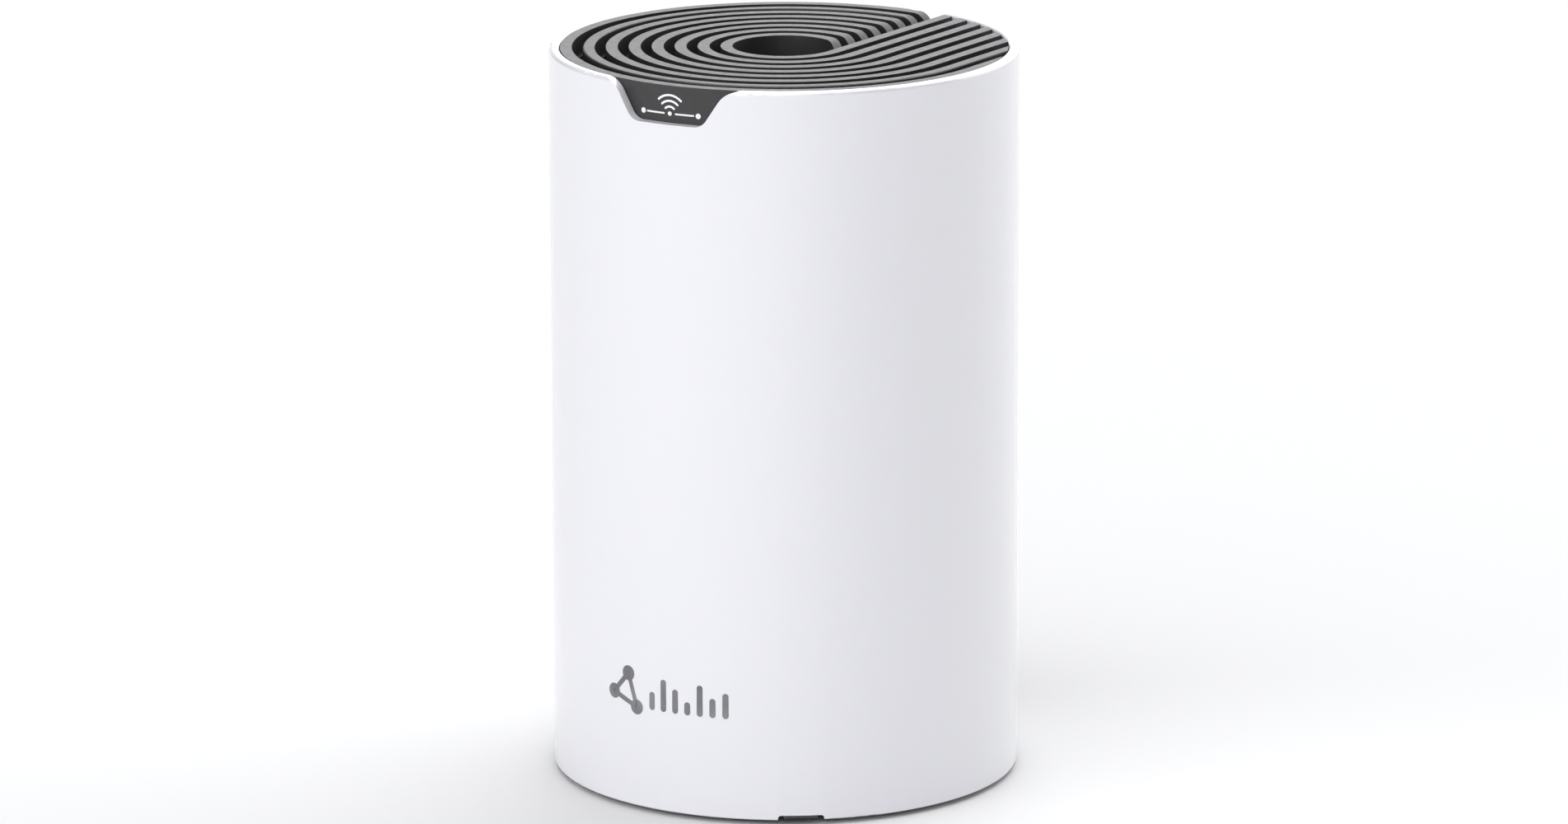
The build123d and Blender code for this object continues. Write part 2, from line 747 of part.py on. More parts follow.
def network_socket(number):
    """Housing, metal shell, contacts and line transformer of one network socket, lying on its side."""
    middle_z = first_socket_z + number * socket_pitch
    back_y = panel_back_y - socket_depth
    shell_x = board_front_x + socket_height / 2
    mouth = facing(180).offset(panel_back_y)
    name = f"lan_{number + 1}"

    with BuildPart() as shell:
        with BuildSketch(mouth):
            with Locations((-shell_x, middle_z)):
                Rectangle(socket_height, socket_width)
        extrude(amount=-socket_depth)
        fillet(shell.edges().filter_by(Axis.Y), radius=shell_corner)
        with BuildSketch(mouth.offset(-shell_wall)):
            with Locations((-shell_x + shell_wall, middle_z)):
                Rectangle(socket_height, socket_width - 2 * shell_wall)
        extrude(amount=-socket_depth + 2 * shell_wall, mode=Mode.SUBTRACT)
        with BuildSketch(mouth):
            with Locations((-shell_x, middle_z)):
                Rectangle(*shell_opening)
        extrude(amount=-shell_wall, mode=Mode.SUBTRACT)
    shell.part.label = f"{name}_shell"
    export_step(shell.part, f"parts/{name}_shell.step")

    with BuildPart() as housing:
        with BuildSketch(mouth.offset(-shell_wall)):
            with Locations((-shell_x + shell_wall / 2, middle_z)):
                Rectangle(socket_height - shell_wall, socket_width - 2 * shell_wall)
        extrude(amount=-socket_depth + 2 * shell_wall)
        # plug cavity and the two steps of the latch slot
        with BuildSketch(mouth):
            with Locations((cavity_shift - shell_x, middle_z)):
                Rectangle(plug_height, plug_width)
            with Locations((-latch_step_shift - shell_x, middle_z)):
                Rectangle(*latch_step)
            with Locations((-latch_neck_shift - shell_x, middle_z)):
                Rectangle(*latch_neck)
        extrude(amount=-plug_depth, mode=Mode.SUBTRACT)
    housing.part.label = f"{name}_housing"
    export_step(housing.part, f"parts/{name}_housing.step")

    with BuildPart() as contacts:
        wall_x = shell_x - cavity_shift - plug_height / 2
        cavity_back_y = panel_back_y - plug_depth
        for place in range(contact_count):
            offset = (place - (contact_count - 1) / 2) * contact_pitch
            with BuildSketch(Plane.XY.offset(middle_z + offset)):
                with BuildLine():
                    Polyline(
                        (wall_x, panel_back_y - contact_tip),
                        (wall_x + contact_rise, cavity_back_y + contact_root),
                        (wall_x + contact_rise, cavity_back_y),
                        (wall_x + contact_rise - contact_thickness, cavity_back_y),
                        (wall_x + contact_rise - contact_thickness, cavity_back_y + contact_root),
                        (wall_x, panel_back_y - contact_tip - contact_foot),
                        close=True,
                    )
                make_face()
            extrude(amount=contact_width / 2, both=True)
    contacts.part.label = f"{name}_contacts"
    export_step(contacts.part, f"parts/{name}_contacts.step")

    chip((9.5, middle_z), (10, 15), 5.5, f"line_transformer_{number + 1}")


for number in range(socket_count):
    network_socket(number)

# Power socket: housing with a round mouth, centre pin and spring contact
power_mouth = facing(180).offset(panel_back_y)
power_spot = (-power_axis_x, power_z)
with BuildPart() as power_housing:
    with BuildSketch(power_mouth):
        with Locations((-board_front_x - power_block_height / 2, power_z)):
            Rectangle(power_block_height, power_block_width)
    extrude(amount=-power_length)
    with BuildSketch(power_mouth):
        with Locations(power_spot):
            Circle(power_bore_radius)
    extrude(amount=-power_bore_depth, mode=Mode.SUBTRACT)
    with BuildSketch(power_mouth):
        with Locations(power_spot):
            Circle(power_root_radius)
    extrude(amount=-power_length, mode=Mode.SUBTRACT)
    with BuildSketch(power_mouth.offset(-power_inset)):
        with Locations((-power_axis_x, power_z + power_bore_radius)):
            Rectangle(power_slot_width, power_inset)
    extrude(amount=-power_bore_depth + power_inset, mode=Mode.SUBTRACT)
power_housing.part.label = "power_housing"
export_step(power_housing.part, "parts/power_housing.step")

with BuildPart() as power_pin:
    with BuildSketch(power_mouth.offset(-power_length + 0.4)):
        with Locations(power_spot):
            Circle(power_root_radius)
    extrude(amount=power_length - power_bore_depth - 0.4)
    with BuildSketch(power_mouth.offset(-power_bore_depth)):
        with Locations(power_spot):
            Circle(power_pin_radius)
    extrude(amount=power_pin_length)
    fillet(power_pin.edges().group_by(Axis.Y)[-1], radius=power_pin_round)
power_pin.part.label = "power_pin"
export_step(power_pin.part, "parts/power_pin.step")

with BuildPart() as power_spring:
    with BuildSketch(power_mouth.offset(-1.2)):
        with Locations((-power_axis_x, power_z + power_bore_radius + 0.25)):
            Rectangle(2.0, 0.3)
    extrude(amount=-power_bore_depth + 1.4)
power_spring.part.label = "power_spring"
export_step(power_spring.part, "parts/power_spring.step")

# Power parts on the front face of the board
with BuildPart() as power_inductors:
    with BuildSketch(board_face(board_front_x)):
        with Locations(*inductor_spots):
            RectangleRounded(7.8, 7.8, 1.6)
    extrude(amount=4.0)
    with BuildSketch(board_face(board_front_x + 4.0)):
        with Locations(*inductor_spots):
            Circle(2.6)
    extrude(amount=-0.3, mode=Mode.SUBTRACT)
power_inductors.part.label = "power_inductors"
export_step(power_inductors.part, "parts/power_inductors.step")

with BuildPart() as power_capacitors:
    with BuildSketch(board_face(board_front_x)):
        with Locations(*capacitor_spots):
            Rectangle(6.6, 6.6)
    extrude(amount=0.8)
    with BuildSketch(board_face(board_front_x + 0.8)):
        with Locations(*capacitor_spots):
            Circle(3.15)
    extrude(amount=6.9)
    fillet(power_capacitors.edges().group_by(Axis.X)[-1], radius=0.4)
power_capacitors.part.label = "power_capacitors"
export_step(power_capacitors.part, "parts/power_capacitors.step")

# Reset: pinhole button under the base, and the switch that it pushes up
with BuildPart() as reset_button:
    with BuildSketch(Plane.XY.offset(plate_bottom_z + reset_inset)):
        with Locations(reset_spot):
            Circle(reset_radius)
    extrude(amount=switch_tip_z - plate_bottom_z - reset_inset)
    with BuildSketch(Plane.XY.offset(plate_top_z + reset_collar_gap)):
        with Locations(reset_spot):
            Circle(reset_radius + reset_collar)
    extrude(amount=reset_collar_height)
    with BuildSketch(Plane.XY.offset(plate_bottom_z + reset_inset)):
        with Locations(reset_spot):
            Circle(reset_dimple_radius)
    extrude(amount=reset_dimple_depth, mode=Mode.SUBTRACT)
    fillet(reset_button.edges().group_by(Axis.Z)[0].sort_by(SortBy.RADIUS)[-1], radius=0.2)
reset_button.part.label = "reset_button"
export_step(reset_button.part, "parts/reset_button.step")

with BuildPart() as reset_switch_plunger:
    with BuildSketch(Plane.XY.offset(switch_tip_z)):
        with Locations(reset_spot):
            Circle(plunger_radius)
    extrude(amount=board_low_z - switch_tip_z + plunger_depth)
reset_switch_plunger.part.label = "reset_switch_plunger"
export_step(reset_switch_plunger.part, "parts/reset_switch_plunger.step")

with BuildPart() as reset_switch_body:
    with BuildSketch(Plane.XY.offset(board_low_z)):
        with Locations(reset_spot):
            Rectangle(*switch_size)
    extrude(amount=switch_height)
    chamfer(reset_switch_body.edges().filter_by(Axis.Z), length=0.3)
    with BuildSketch(Plane.XY.offset(board_low_z)):
        with Locations(reset_spot):
            Circle(plunger_radius + plunger_gap)
    extrude(amount=plunger_depth + reset_travel + plunger_gap, mode=Mode.SUBTRACT)
reset_switch_body.part.label = "reset_switch_body"
export_step(reset_switch_body.part, "parts/reset_switch_body.step")

# Status lamp: small board on the base plate, its light source and the guide to the rim
lamp_plane = radial(lamp_angle)
with BuildPart() as led_board:
    with BuildSketch(lamp_plane):
        with Locations(((lamp_board_inner + lamp_board_outer) / 2, plate_top_z + 0.5)):
            Rectangle(lamp_board_outer - lamp_board_inner, 1.0)
    extrude(amount=5.5, both=True)
led_board.part.label = "led_board"
export_step(led_board.part, "parts/led_board.step")

with BuildPart() as status_led:
    with BuildSketch(lamp_plane):
        with Locations((lamp_board_outer - 0.6, plate_top_z + 1.4)):
            Rectangle(1.0, 0.8)
    extrude(amount=1.0, both=True)
    chamfer(status_led.edges().group_by(Axis.Z)[-1], length=0.1)
status_led.part.label = "status_led"
export_step(status_led.part, "parts/status_led.step")

with BuildPart() as led_window:
    with BuildSketch(lamp_plane):
        with BuildLine():
            Polyline(
                (guide_leg_radius, guide_bottom_z),
                (guide_face_radius, guide_bottom_z),
                (guide_face_radius, guide_top_z),
                (guide_leg_radius + guide_leg_depth, guide_top_z),
                (guide_leg_radius + guide_leg_depth, plate_top_z + guide_leg_rise),
                (guide_leg_radius, plate_top_z + guide_leg_rise),
                close=True,
            )
        make_face()
    extrude(amount=guide_width / 2, both=True)
led_window.part.label = "led_window"
export_step(led_window.part, "parts/led_window.step")

# the plug on the main board stands level with the point where the lead drops to the lamp board
lamp_turn = math.radians(lamp_angle)
lamp_drop_radius = lamp_board_inner + 2.5
lamp_drop_x = lamp_drop_radius * math.sin(lamp_turn)
lamp_drop_y = -lamp_drop_radius * math.cos(lamp_turn)
with BuildPart() as led_plug:
    with BuildSketch(board_face(board_front_x)):
        with Locations((lamp_drop_y, lamp_plug_z)):
            Rectangle(5.0, 6.0)
    extrude(amount=4.0)
    chamfer(led_plug.edges().group_by(Axis.X)[-1], length=0.4)
led_plug.part.label = "led_plug"
export_step(led_plug.part, "parts/led_plug.step")


def lead(points, radius, bend, label):
    """Round insulated lead along straight runs joined by tangent arcs."""
    with BuildPart() as wire:
        with BuildLine() as route:
            FilletPolyline(*points, radius=bend)
        with BuildSketch(Plane(origin=route.line @ 0, z_dir=route.line % 0)):
            Circle(radius)
        sweep()
    wire.part.label = label
    export_step(wire.part, f"parts/{label}.step")


lamp_route = [
    (board_front_x + 4.0, lamp_drop_y, lamp_plug_z),
    (lamp_drop_x, lamp_drop_y, lamp_plug_z),
    (lamp_drop_x, lamp_drop_y, plate_top_z + 1.0),
]
lead(lamp_route, 0.9, 7.0, "led_lead")

# Antennas: stamped plates on the carriers, each with its coaxial lead and board plug
antenna_radius = carrier_radius + carrier_thickness
antenna_low_z = frame_top_z + tray_thickness + 0.4
for number, (angle, plug_y) in enumerate(zip(antenna_angles, antenna_plug_ys), start=1):
    with BuildPart() as antenna:
        with BuildSketch(facing(angle).offset(antenna_radius)):
            with BuildLine():
                Polyline(
                    (-9.0, antenna_low_z + 6.0),
                    (-9.0, antenna_low_z + 12.0),
                    (9.0, antenna_low_z + 12.0),
                    (9.0, antenna_low_z),
                    (5.0, antenna_low_z),
                    (5.0, antenna_low_z + 6.0),
                    (1.5, antenna_low_z + 6.0),
                    (1.5, antenna_low_z),
                    (-2.5, antenna_low_z),
                    (-2.5, antenna_low_z + 6.0),
                    close=True,
                )
            make_face()
            fillet(vertices(), radius=0.4)
        extrude(amount=0.4)
    antenna.part.label = f"antenna_{number}"
    export_step(antenna.part, f"parts/antenna_{number}.step")

    with BuildPart() as plug:
        with BuildSketch(board_face(board_front_x)):
            with Locations((plug_y, antenna_plug_z)):
                Circle(1.5)
        extrude(amount=1.9)
    plug.part.label = f"antenna_plug_{number}"
    export_step(plug.part, f"parts/antenna_plug_{number}.step")

    turn = math.radians(angle)
    lead_x = board_front_x + 0.95
    coax_route = [
        (lead_x, plug_y, antenna_plug_z + 1.5),
        (lead_x, plug_y, feed_z),
        (feed_turn_radius * math.sin(turn), -feed_turn_radius * math.cos(turn), feed_z),
        (antenna_radius * math.sin(turn), -antenna_radius * math.cos(turn), feed_z),
    ]
    lead(coax_route, lead_radius, lead_bend, f"antenna_lead_{number}")
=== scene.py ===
import json
import math

import bmesh
import bpy
from mathutils import Matrix, Vector


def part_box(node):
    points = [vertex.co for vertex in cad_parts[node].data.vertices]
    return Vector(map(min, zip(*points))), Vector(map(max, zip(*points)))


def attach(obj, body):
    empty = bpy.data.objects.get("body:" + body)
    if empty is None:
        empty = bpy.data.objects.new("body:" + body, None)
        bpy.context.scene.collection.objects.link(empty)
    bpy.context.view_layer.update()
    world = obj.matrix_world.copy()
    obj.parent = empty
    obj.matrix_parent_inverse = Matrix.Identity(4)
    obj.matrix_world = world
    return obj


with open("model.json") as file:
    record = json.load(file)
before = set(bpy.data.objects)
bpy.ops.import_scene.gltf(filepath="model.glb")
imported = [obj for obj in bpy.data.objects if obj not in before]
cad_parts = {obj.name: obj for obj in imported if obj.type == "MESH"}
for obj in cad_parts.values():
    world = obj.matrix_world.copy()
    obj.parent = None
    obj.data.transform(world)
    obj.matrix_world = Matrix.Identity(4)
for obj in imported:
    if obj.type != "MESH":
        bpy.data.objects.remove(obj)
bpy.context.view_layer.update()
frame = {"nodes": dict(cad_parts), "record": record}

print("frame loaded:", len(frame["nodes"]), "nodes")

mm = 0.001
nodes = frame["nodes"]
housing = "housing"


# the studio: camera, floor and glowing walls

studio = {
    "cameraAngle": 33.0,  # degrees right of the front
    "cameraReach": 1.5998,
    "cameraHeight": 0.4686,
    "aimHeight": 0.0703,
    "aimShift": -0.0002,  # to the camera's right of the axis
    "lens": 194.4,
    "roll": -0.13,
    "worldGlow": 1.0,
    "ceilingGlow": 2.7,
    "ceilingEdge": (0.80, 0.94),  # height of the view direction where the ceiling fades in
    "floorSize": 12.0,
    "floorDrop": 0.00005,  # below the feet
}

# soft glowing panels round the walls, by the angle right of the camera; each fades out past its ends
wallPanels = {
    "keyWall": {"start": -70, "end": -5, "fadeIn": 20, "fadeOut": 35, "level": 1.8},
    "backWall": {"start": 105, "end": 170, "fadeIn": 15, "fadeOut": 50, "level": 2.1},
}
wallSeam = -110  # in the dark between two panels
wallTint = (0.985, 0.99, 1.0)


def aroundAxis(angle, heightAngle, distance, centreHeight=0.07):
    # point at this angle right of the front, looking back at the object
    turn, rise = math.radians(angle), math.radians(heightAngle)
    level = distance * math.cos(rise)
    return Vector((level * math.sin(turn), -level * math.cos(turn), centreHeight + distance * math.sin(rise)))


def lookAt(thing, target, roll=0.0):
    turn = (target - thing.location).to_track_quat("-Z", "Y").to_matrix().to_4x4()
    spin = Matrix.Rotation(math.radians(roll), 4, "Z")
    thing.matrix_world = Matrix.Translation(thing.location) @ turn @ spin


def makeCamera():
    lensData = bpy.data.cameras.new("camera")
    lensData.lens = studio["lens"]
    lensData.sensor_width = 36.0
    lensData.clip_end = 50.0
    camera = bpy.data.objects.new("camera", lensData)
    bpy.context.scene.collection.objects.link(camera)
    camera.location = aroundAxis(studio["cameraAngle"], 0, studio["cameraReach"], studio["cameraHeight"])
    turn = math.radians(studio["cameraAngle"])
    aside = Vector((math.cos(turn), math.sin(turn), 0)) * studio["aimShift"]
    lookAt(camera, aside + Vector((0, 0, studio["aimHeight"])), studio["roll"])
    bpy.context.scene.camera = camera


def makeWorld():
    # round the horizon the walls glow in soft panels; overhead is an even sheet
    world = bpy.data.worlds.new("studioWorld")
    bpy.context.scene.world = world
    world.use_nodes = True
    tree = world.node_tree
    tree.nodes.clear()
    way = tree.nodes.new("ShaderNodeTexCoord")
    turn = tree.nodes.new("ShaderNodeVectorRotate")
    turn.rotation_type = "Z_AXIS"
    turn.inputs["Angle"].default_value = -math.radians(studio["cameraAngle"] + wallSeam + 180)
    parts = tree.nodes.new("ShaderNodeSeparateXYZ")
    back = tree.nodes.new("ShaderNodeMath")
    back.operation = "MULTIPLY"
    back.inputs[1].default_value = -1.0
    angle = tree.nodes.new("ShaderNodeMath")
    angle.operation = "ARCTAN2"
    share = tree.nodes.new("ShaderNodeMapRange")
    share.inputs["From Min"].default_value = -math.pi
    share.inputs["From Max"].default_value = math.pi
    panels = tree.nodes.new("ShaderNodeValToRGB")
    panels.color_ramp.interpolation = "EASE"
    brightest = max(panel["level"] for panel in wallPanels.values())
    levels = [(wallSeam, 0)]
    for panel in wallPanels.values():
        start, end, level = panel["start"], panel["end"], panel["level"]
        levels += [(start - panel["fadeIn"], 0), (start, level), (end, level), (end + panel["fadeOut"], 0)]
    stops = panels.color_ramp.elements
    while len(stops) < len(levels):
        stops.new(0.5)
    for stop, (degrees, level) in zip(stops, levels):
        stop.position = (degrees - wallSeam) / 360
        stop.color = (*(level / brightest * tint for tint in wallTint), 1)
    glow = tree.nodes.new("ShaderNodeBackground")
    glow.inputs["Strength"].default_value = brightest * studio["worldGlow"]
    ceiling = tree.nodes.new("ShaderNodeBackground")  # lights the floor more than upright walls
    ceiling.inputs["Strength"].default_value = studio["ceilingGlow"]
    climb = tree.nodes.new("ShaderNodeMapRange")
    climb.interpolation_type = "SMOOTHSTEP"
    climb.inputs["From Min"].default_value, climb.inputs["From Max"].default_value = studio["ceilingEdge"]
    room = tree.nodes.new("ShaderNodeMixShader")
    sheet = tree.nodes.new("ShaderNodeBackground")  # what the camera sees past the floor
    sheet.inputs["Color"].default_value = (1, 1, 1, 1)
    path = tree.nodes.new("ShaderNodeLightPath")
    mix = tree.nodes.new("ShaderNodeMixShader")
    out = tree.nodes.new("ShaderNodeOutputWorld")
    link = tree.links.new
    link(way.outputs["Generated"], turn.inputs["Vector"])
    link(turn.outputs["Vector"], parts.inputs["Vector"])
    link(parts.outputs["Y"], back.inputs[0])
    link(parts.outputs["X"], angle.inputs[0])
    link(back.outputs[0], angle.inputs[1])
    link(angle.outputs[0], share.inputs["Value"])
    link(share.outputs["Result"], panels.inputs["Fac"])
    link(panels.outputs["Color"], glow.inputs["Color"])
    link(path.outputs["Is Camera Ray"], mix.inputs[0])
    link(parts.outputs["Z"], climb.inputs["Value"])
    link(climb.outputs["Result"], room.inputs[0])
    link(glow.outputs[0], room.inputs[1])
    link(ceiling.outputs[0], room.inputs[2])
    link(room.outputs[0], mix.inputs[1])
    link(sheet.outputs[0], mix.inputs[2])
    link(mix.outputs[0], out.inputs["Surface"])


makeCamera()
makeWorld()
bpy.context.scene.view_settings.view_transform = "Standard"
print("studio ready")


def plainMaterial(name, colour, roughness, metallic=0.0, **sockets):
    material = bpy.data.materials.new(name)
    material.use_nodes = True
    shader = material.node_tree.nodes["Principled BSDF"]
    shader.inputs["Base Color"].default_value = (*colour, 1)
    shader.inputs["Roughness"].default_value = roughness
    shader.inputs["Metallic"].default_value = metallic
    for socket, value in sockets.items():
        shader.inputs[socket.replace("_", " ")].default_value = value
    material.diffuse_color = (*colour, 1)
    return material


def objectNoise(material, scale, detail=2.0, stretch=(1, 1, 1)):
    tree = material.node_tree
    place = tree.nodes.new("ShaderNodeTexCoord")
    shape = tree.nodes.new("ShaderNodeMapping")
    shape.inputs["Scale"].default_value = stretch
    noise = tree.nodes.new("ShaderNodeTexNoise")
    noise.inputs["Scale"].default_value = scale
    noise.inputs["Detail"].default_value = detail
    tree.links.new(place.outputs["Object"], shape.inputs["Vector"])
    tree.links.new(shape.outputs["Vector"], noise.inputs["Vector"])
    return noise


def addGrain(material, scale, strength, distance, detail=2.0, stretch=(1, 1, 1)):
    tree = material.node_tree
    noise = objectNoise(material, scale, detail, stretch)
    bump = tree.nodes.new("ShaderNodeBump")
    bump.inputs["Strength"].default_value = strength
    bump.inputs["Distance"].default_value = distance
    tree.links.new(noise.outputs["Fac"], bump.inputs["Height"])
    tree.links.new(bump.outputs["Normal"], tree.nodes["Principled BSDF"].inputs["Normal"])


def varyColour(material, darker, lighter, scale, detail=3.0, stretch=(1, 1, 1)):
    tree = material.node_tree
    noise = objectNoise(material, scale, detail, stretch)
    ramp = tree.nodes.new("ShaderNodeValToRGB")
    ramp.color_ramp.elements[0].position = 0.3
    ramp.color_ramp.elements[0].color = (*darker, 1)
    ramp.color_ramp.elements[1].position = 0.7
    ramp.color_ramp.elements[1].color = (*lighter, 1)
    tree.links.new(noise.outputs["Fac"], ramp.inputs["Fac"])
    tree.links.new(ramp.outputs["Color"], tree.nodes["Principled BSDF"].inputs["Base Color"])


def varyRoughness(material, low, high, scale, stretch=(1, 1, 1)):
    tree = material.node_tree
    noise = objectNoise(material, scale, 3.0, stretch)
    spread = tree.nodes.new("ShaderNodeMapRange")
    spread.inputs["From Min"].default_value = 0.3
    spread.inputs["From Max"].default_value = 0.7
    spread.inputs["To Min"].default_value = low
    spread.inputs["To Max"].default_value = high
    tree.links.new(noise.outputs["Fac"], spread.inputs["Value"])
    tree.links.new(spread.outputs["Result"], tree.nodes["Principled BSDF"].inputs["Roughness"])


shellCoat = {"Coat_Weight": 1.0, "Coat_Roughness": 0.16, "Coat_IOR": 1.8}


def whiteShell():
    # smooth satin gloss white with a breath of lavender
    material = plainMaterial("whiteShell", (0.78, 0.78, 0.82), 0.28, IOR=1.5, **shellCoat)
    varyColour(material, (0.779, 0.779, 0.819), (0.781, 0.781, 0.821), 40.0)
    varyRoughness(material, 0.275, 0.285, 25.0)
    return material


def satinBlack(name, tone=0.030, low=0.34, high=0.42, grain=0.10):
    material = plainMaterial(name, (tone, tone, tone * 1.08), 0.38, IOR=1.5)
    varyColour(material, (tone * 0.93,) * 3, (tone * 1.07, tone * 1.07, tone * 1.15), 300.0)
    varyRoughness(material, low, high, 700.0)
    addGrain(material, 4200.0, grain, 0.00008, 3.0)
    return material


def softRubber():
    material = plainMaterial("softRubber", (0.045, 0.045, 0.047), 0.82)
    varyColour(material, (0.036, 0.036, 0.038), (0.055, 0.055, 0.057), 900.0)
    addGrain(material, 2600.0, 0.35, 0.00012, 4.0)
    return material


def labelFilm():
    material = plainMaterial("labelFilm", (0.74, 0.74, 0.75), 0.5)
    varyColour(material, (0.72, 0.72, 0.73), (0.76, 0.76, 0.77), 260.0)
    addGrain(material, 1800.0, 0.08, 0.00006)
    return material


def metal(name, colour, roughness, brushed=(1, 1, 1), grain=0.12, scale=900.0):
    material = plainMaterial(name, colour, roughness, 1.0)
    darker, lighter = [c * 0.9 for c in colour], [min(1, c * 1.06) for c in colour]
    varyColour(material, darker, lighter, scale / 3, 3.0, brushed)
    varyRoughness(material, roughness * 0.8, roughness * 1.25, scale / 2, brushed)
    addGrain(material, scale, grain, 0.00005, 3.0, brushed)
    return material


def mouldedPlastic(name, colour, roughness=0.5, grain=0.12):
    material = plainMaterial(name, colour, roughness)
    varyColour(material, [c * 0.93 for c in colour], [min(1, c * 1.07) for c in colour], 400.0)
    varyRoughness(material, roughness - 0.05, roughness + 0.06, 500.0)
    addGrain(material, 3200.0, grain, 0.00008)
    return material


def circuitBoard():
    # green solder mask with paler copper runs under it
    material = plainMaterial("circuitBoard", (0.012, 0.11, 0.045), 0.34)
    tree = material.node_tree
    place = tree.nodes.new("ShaderNodeTexCoord")
    turn = tree.nodes.new("ShaderNodeMapping")
    turn.inputs["Rotation"].default_value = (0, math.radians(90), 0)  # lays the runs on the upright face
    runs = tree.nodes.new("ShaderNodeTexBrick")
    runs.inputs["Scale"].default_value = 260.0
    runs.inputs["Mortar Size"].default_value = 0.09
    runs.inputs["Color1"].default_value = (0.010, 0.090, 0.036, 1)
    runs.inputs["Color2"].default_value = (0.014, 0.118, 0.048, 1)
    runs.inputs["Mortar"].default_value = (0.030, 0.200, 0.080, 1)
    tree.links.new(place.outputs["Object"], turn.inputs["Vector"])
    tree.links.new(turn.outputs["Vector"], runs.inputs["Vector"])
    tree.links.new(runs.outputs["Color"], tree.nodes["Principled BSDF"].inputs["Base Color"])
    varyRoughness(material, 0.28, 0.42, 300.0)
    addGrain(material, 700.0, 0.10, 0.00005)
    return material


def smokedWindow():
    material = plainMaterial("smokedWindow", (0.05, 0.05, 0.055), 0.16, IOR=1.49)
    varyColour(material, (0.045, 0.045, 0.050), (0.058, 0.058, 0.064), 500.0)
    addGrain(material, 1500.0, 0.03, 0.00004)
    return material


finishes = {
    "white_shell": whiteShell(),
    "black_cap": satinBlack("blackCap"),
    "black_base": satinBlack("blackBase", 0.034, 0.48, 0.60, 0.30),
    "black_panel": satinBlack("blackPanel", 0.030, 0.42, 0.54, 0.25),
    "label_film": labelFilm(),
    "foot_rubber": softRubber(),
    "zinc_screws": metal("zincScrews", (0.55, 0.56, 0.58), 0.34),
    "frame_plastic": mouldedPlastic("framePlastic", (0.055, 0.055, 0.06), 0.5),
    "circuit_board": circuitBoard(),
    "sink_aluminium": metal("sinkAluminium", (0.72, 0.73, 0.75), 0.36, (1, 1, 0.06), 0.16, 1400.0),
    "thermal_pad": mouldedPlastic("thermalPad", (0.33, 0.40, 0.50), 0.75, 0.2),
    "tin_plate": metal("tinPlate", (0.70, 0.70, 0.71), 0.27, (1, 1, 1), 0.06, 500.0),
    "socket_plastic": mouldedPlastic("socketPlastic", (0.022, 0.022, 0.024), 0.42),
    "gold_contact": metal("goldContact", (0.92, 0.70, 0.32), 0.36, (1, 1, 1), 0.05),
    "nickel_contact": metal("nickelContact", (0.70, 0.68, 0.63), 0.25, (1, 1, 1), 0.05),
    "ferrite": mouldedPlastic("ferrite", (0.10, 0.10, 0.11), 0.65, 0.3),
    "capacitor_can": metal("capacitorCan", (0.70, 0.71, 0.73), 0.30, (0.1, 1, 1), 0.06),
    "button_plastic": mouldedPlastic("buttonPlastic", (0.70, 0.70, 0.72), 0.42),
    "switch_body": mouldedPlastic("switchBody", (0.06, 0.06, 0.06), 0.45),
    "switch_plunger": mouldedPlastic("switchPlunger", (0.55, 0.08, 0.06), 0.45),
    "lamp_resin": mouldedPlastic("lampResin", (0.85, 0.84, 0.72), 0.25, 0.04),
    "smoked_window": smokedWindow(),
    "lead_jacket": mouldedPlastic("leadJacket", (0.035, 0.035, 0.037), 0.5),
    "plug_plastic": mouldedPlastic("plugPlastic", (0.78, 0.75, 0.66), 0.45),
    "chip_epoxy": mouldedPlastic("chipEpoxy", (0.035, 0.035, 0.038), 0.55, 0.2),
    "antenna_copper": metal("antennaCopper", (0.78, 0.52, 0.34), 0.33, (1, 1, 1), 0.08),
}


def dressNodes():
    slotOf = {part["node"]: part["material_slot"] for part in frame["record"]["subparts"]}
    for name, thing in nodes.items():
        thing.data.materials.clear()
        thing.data.materials.append(finishes[slotOf[name]])


dressNodes()
print("finishes on", len(nodes), "nodes")


# printed marks: flat outlines in millimetres, laid round the upright wall

def stadium(length, width, segments=24):
    # flat bar with round ends, its left end's centre at the origin, running along x
    bm = bmesh.new()
    bmesh.ops.create_circle(bm, cap_ends=True, radius=width / 2, segments=segments)
    right = [v for v in bm.verts if v.co.x > 1e-6]
    bmesh.ops.translate(bm, verts=right, vec=(length, 0, 0))
    return bm


def dot(radius, segments=28):
    bm = bmesh.new()
    bmesh.ops.create_circle(bm, cap_ends=True, radius=radius, segments=segments)
    return bm


def sliceAcross(bm, step):
    # cuts the flat outline into strips so that it can follow a curve
    low = min(v.co.x for v in bm.verts)
    high = max(v.co.x for v in bm.verts)
    at = low + step
    while at < high - step / 4:
        everything = bm.verts[:] + bm.edges[:] + bm.faces[:]
        bmesh.ops.bisect_plane(bm, geom=everything, plane_co=(at, 0, 0), plane_no=(1, 0, 0), dist=1e-6)
        at += step


def archedBar(radius, width, halfAngle):
    # bar with round ends bent to an arch about the origin, open side down
    length = 2 * radius * math.radians(halfAngle)
    bm = stadium(length, width)
    sliceAcross(bm, length / 22)
    for v in bm.verts:
        turn = (v.co.x - length / 2) / radius
        reach = radius + v.co.y
        v.co = Vector((reach * math.sin(turn), reach * math.cos(turn), 0))
    return bm


